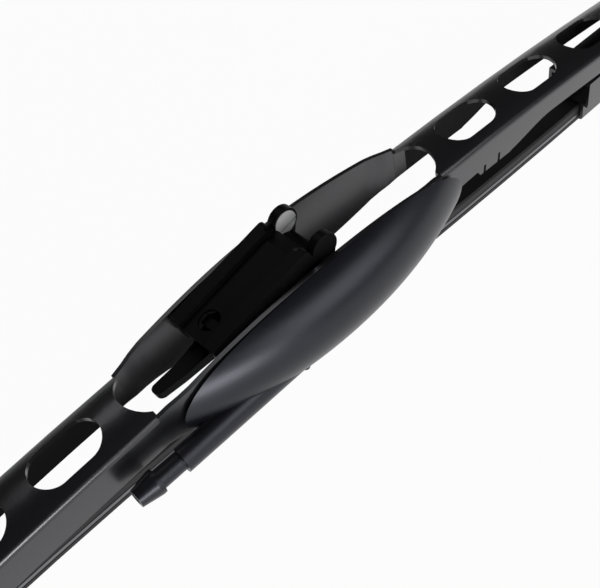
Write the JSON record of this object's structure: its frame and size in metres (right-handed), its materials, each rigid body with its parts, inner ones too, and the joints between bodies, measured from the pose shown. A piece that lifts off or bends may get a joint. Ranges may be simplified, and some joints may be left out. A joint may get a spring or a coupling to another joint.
{
  "type": "wiper blade",
  "caption": "Long framed wiper blade with a windowed steel bridge, nested yokes, a rubber strip, a clip-on arm adapter and a washer spray housing on its front side.",
  "frame": {"origin": "middle of the cross pin that the arm adapter turns on", "axes": "+X along the blade, away from the hose connection; +Y across the blade, away from the spray housing; +Z away from the glass"},
  "size_m": [0.7033, 0.0302, 0.0656],
  "materials": {
    "coated_steel": "satin black powder coat",
    "pin_steel": "satin black",
    "housing_plastic": "fine satin black",
    "adapter_plastic": "matte black",
    "bush_plastic": "matte black",
    "seal_rubber": "matte",
    "strip_rubber": "matte",
    "flexor_steel": "spring steel"
  },
  "bodies": {
    "bridge": {"primary_bridge": "coated_steel", "cross_pin": "pin_steel", "spray_cover": "housing_plastic", "cover_back": "housing_plastic", "hose_barb": "housing_plastic", "barb_seal": "seal_rubber", "spray_jet": "adapter_plastic", "left_rivet": "pin_steel", "right_rivet": "pin_steel", "wiper_rubber": "strip_rubber", "front_flexor": "flexor_steel", "rear_flexor": "flexor_steel", "left_end_cap": "bush_plastic", "right_end_cap": "bush_plastic"},
    "adapter": {"adapter": "adapter_plastic"},
    "latch": {"latch": "adapter_plastic"},
    "left_yoke": {"left_yoke": "coated_steel", "left_bush": "bush_plastic", "left_outer_rivet": "pin_steel"},
    "right_yoke": {"right_yoke": "coated_steel", "right_bush": "bush_plastic", "right_outer_rivet": "pin_steel"},
    "left_outer_yoke": {"left_outer_yoke": "coated_steel", "left_outer_bush": "bush_plastic"},
    "right_outer_yoke": {"right_outer_yoke": "coated_steel", "right_outer_bush": "bush_plastic"}
  },
  "joints": [
    {"name": "adapter_pivot", "type": "hinge", "parent": "bridge", "child": "adapter", "pos_m": [0, 0, 0], "axis": [0, 1, 0], "range_deg": [-15, 60]},
    {"name": "latch_pivot", "type": "hinge", "parent": "adapter", "child": "latch", "pos_m": [-0.00933, 0, -0.00027], "axis": [0, -1, 0], "range_deg": [0, 9], "stiffness_Nm_per_rad": 0.01},
    {"name": "left_yoke_pivot", "type": "hinge", "parent": "bridge", "child": "left_yoke", "pos_m": [-0.217, 0, -0.02322], "axis": [0, -1, 0], "range_deg": [-5, 1], "deforming": ["wiper_rubber", "front_flexor", "rear_flexor"]},
    {"name": "right_yoke_pivot", "type": "hinge", "parent": "bridge", "child": "right_yoke", "pos_m": [0.207, 0, -0.02322], "axis": [0, 1, 0], "range_deg": [-2, 4], "deforming": ["wiper_rubber", "front_flexor", "rear_flexor"]},
    {"name": "left_outer_pivot", "type": "hinge", "parent": "left_yoke", "child": "left_outer_yoke", "pos_m": [-0.27271, 0, -0.02894], "axis": [0, -1, 0], "range_deg": [-4, 2], "deforming": ["wiper_rubber", "front_flexor", "rear_flexor"]},
    {"name": "right_outer_pivot", "type": "hinge", "parent": "right_yoke", "child": "right_outer_yoke", "pos_m": [0.26293, 0, -0.02603], "axis": [0, 1, 0], "range_deg": [-4, 2], "deforming": ["wiper_rubber", "front_flexor", "rear_flexor"]}
  ]
}
